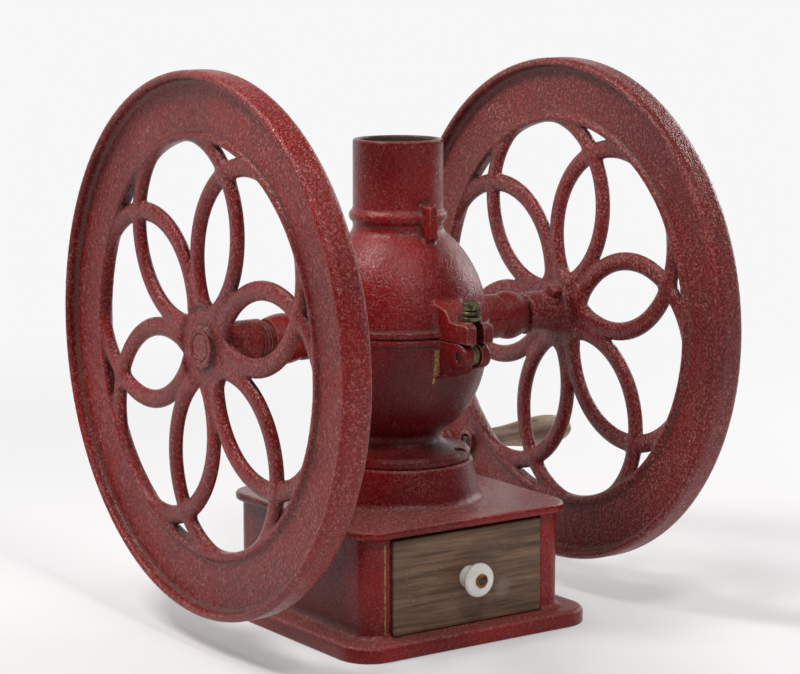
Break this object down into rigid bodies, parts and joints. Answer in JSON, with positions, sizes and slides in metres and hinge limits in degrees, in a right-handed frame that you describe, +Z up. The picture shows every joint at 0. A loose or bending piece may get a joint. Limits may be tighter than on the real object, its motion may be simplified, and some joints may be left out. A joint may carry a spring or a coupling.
{
  "type": "coffee grinder",
  "caption": "Cast-iron counter coffee mill with two flywheels, a crank handle, a two-part bulb body on a boxed base, an adjusting collar and a wooden drawer.",
  "frame": {"origin": "middle of the base plate's underside, on the surface that the mill stands on", "axes": "+Z up through the neck, +X along the axle towards the wheel with the handle, -Y towards the drawer's front"},
  "size_m": [0.479, 0.432, 0.459],
  "materials": {
    "red_enamel": "old red enamel over cast iron, worn to brown on the edges",
    "dark_steel": "dark steel with brown patina",
    "worn_steel": "bare steel with greenish brown tarnish",
    "rusty_steel": "rusty",
    "bronze": "dull bronze",
    "burr_iron": "bare chilled iron",
    "handle_wood": "worn bare wood",
    "drawer_wood": "dark aged wood with a matt varnish",
    "porcelain": "white glazed porcelain"
  },
  "bodies": {
    "stand": {"base_box": "red_enamel", "top_plate": "red_enamel", "top_plate_screws": "dark_steel", "pedestal": "red_enamel", "lower_shell": "red_enamel", "bowl_wall": "red_enamel", "upper_shell": "red_enamel", "flange_screws": "red_enamel", "hinge_pin": "dark_steel", "clamp_pin": "dark_steel", "right_bush": "bronze", "right_collar": "red_enamel", "fixed_burr": "burr_iron", "burr_screws": "dark_steel"},
    "adjuster": {"adjusting_sleeve": "red_enamel"},
    "lock_ring": {"left_collar": "red_enamel"},
    "rotor": {"axle": "dark_steel", "left_wheel": "red_enamel", "right_wheel": "red_enamel", "left_set_screw": "red_enamel", "right_set_screw": "red_enamel", "feed_screw": "burr_iron", "rotating_burr": "burr_iron", "drive_pin": "dark_steel", "thrust_washer": "bronze", "handle_pin": "dark_steel", "handle_nut": "dark_steel", "handle_washer": "dark_steel"},
    "handle": {"wooden_handle": "handle_wood"},
    "bolt": {"clamp_bolt": "worn_steel"},
    "nut": {"clamp_washer": "worn_steel", "clamp_nut": "worn_steel"},
    "drawer": {"drawer_front": "drawer_wood", "drawer_left_side": "drawer_wood", "drawer_right_side": "drawer_wood", "drawer_back": "drawer_wood", "drawer_bottom": "drawer_wood", "drawer_nails": "dark_steel", "drawer_knob": "porcelain", "knob_washer": "bronze", "knob_screw": "rusty_steel"}
  },
  "joints": [
    {"name": "axle_spin", "type": "hinge", "parent": "stand", "child": "rotor", "pos_m": [0, 0, 0.243], "axis": [1, 0, 0], "continuous": true},
    {"name": "handle_spin", "type": "hinge", "parent": "rotor", "child": "handle", "pos_m": [0.23, 0.12917, 0.1064], "axis": [1, 0, 0], "continuous": true},
    {"name": "drawer_slide", "type": "slide", "parent": "stand", "child": "drawer", "axis": [0, -1, 0], "range_m": [0, 0.14]},
    {"name": "bolt_swing", "type": "hinge", "parent": "stand", "child": "bolt", "pos_m": [0, -0.1016, 0.2324], "axis": [1, 0, 0], "range_deg": [0, 75]},
    {"name": "nut_slide", "type": "slide", "parent": "bolt", "child": "nut", "axis": [0, 0, 1], "range_m": [0, 0.0066]},
    {"name": "sleeve_turn", "type": "hinge", "parent": "stand", "child": "adjuster", "pos_m": [-0.1, 0, 0.243], "axis": [1, 0, 0], "range_deg": [-180, 180]},
    {"name": "lock_ring_turn", "type": "hinge", "parent": "stand", "child": "lock_ring", "pos_m": [-0.11, 0, 0.243], "axis": [1, 0, 0], "range_deg": [0, 90]}
  ],
  "couplings": [
    {"joint": "nut_slide", "follows": "bolt_swing", "m_per_rad": 0.005}
  ]
}
